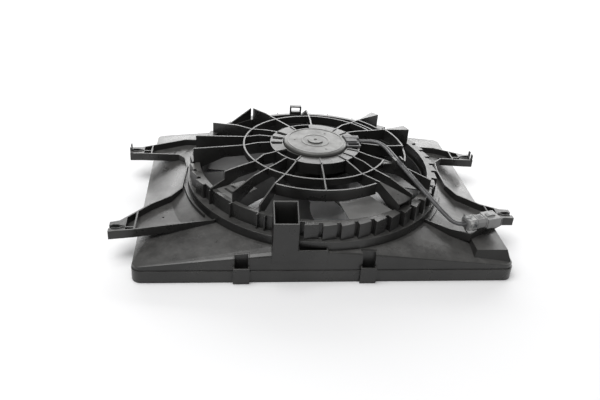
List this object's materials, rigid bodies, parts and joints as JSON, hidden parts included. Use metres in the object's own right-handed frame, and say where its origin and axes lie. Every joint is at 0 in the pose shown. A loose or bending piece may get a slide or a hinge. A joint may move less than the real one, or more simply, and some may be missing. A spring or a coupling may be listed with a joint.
{
  "type": "radiator cooling fan assembly",
  "caption": "Radiator cooling fan: moulded shroud with slotted mounting arms and a ribbed guard that carries an electric motor and a bladed fan, with a clipped lead and connector.",
  "frame": {"origin": "the fan axis in the plane of the radiator face, where the skirt's rim rests", "axes": "+Z from the radiator towards the motor, +X along the long side of the shroud to the side where the lead and connector lie, +Y across it away from the tower socket"},
  "size_m": [0.686, 0.483, 0.1385],
  "materials": {
    "shroud_plastic": "dark charcoal moulded plastic with a soft sheen",
    "fan_plastic": "dark moulded plastic",
    "motor_steel": "grey coated drawn steel",
    "plated_steel": "zinc plated steel",
    "magnet_ferrite": "dull sintered ferrite",
    "core_steel": "stacked laminations",
    "copper": "enamelled copper",
    "bronze": "sintered bronze",
    "card_resin": "brown resin board",
    "brush_carbon": "carbon",
    "lead_cover": "black insulation",
    "grommet_rubber": "grey rubber",
    "connector_plastic": "light grey moulded plastic",
    "tinned_brass": "tinned"
  },
  "bodies": {
    "shroud": {"shroud_hood": "shroud_plastic", "fan_barrel": "shroud_plastic", "guard_ribs": "shroud_plastic", "guard_ring_inner": "shroud_plastic", "guard_ring_outer": "shroud_plastic", "cover_plate_left": "shroud_plastic", "cover_plate_right": "shroud_plastic", "motor_mount_ring": "shroud_plastic", "arm_front_left": "shroud_plastic", "arm_rear_left": "shroud_plastic", "arm_front_right": "shroud_plastic", "arm_rear_right": "shroud_plastic", "front_socket": "shroud_plastic", "rear_clip_box": "shroud_plastic", "edge_clip_left": "shroud_plastic", "edge_clip_right": "shroud_plastic", "motor_can": "motor_steel", "motor_end_cap": "plated_steel", "motor_magnets": "magnet_ferrite", "motor_screws": "plated_steel", "drive_end_bearing": "plated_steel", "rear_bush": "bronze", "brush_card": "card_resin", "brushes": "brush_carbon", "brush_springs": "plated_steel", "lead_grommet": "grommet_rubber", "motor_lead": "lead_cover", "lead_saddle": "shroud_plastic", "connector_body": "connector_plastic", "connector_seal": "grommet_rubber", "connector_terminals": "tinned_brass", "connector_bracket": "shroud_plastic"},
    "fan": {"fan_hub": "fan_plastic", "fan_blades": "fan_plastic", "fan_band": "fan_plastic", "hub_insert": "plated_steel", "shaft_washer": "plated_steel", "shaft_nut": "plated_steel", "motor_shaft": "plated_steel", "armature_core": "core_steel", "armature_windings": "copper", "commutator": "copper"}
  },
  "joints": [
    {"name": "fan_spin", "type": "hinge", "parent": "shroud", "child": "fan", "pos_m": [0, 0, 0], "axis": [0, 0, 1], "continuous": true}
  ]
}
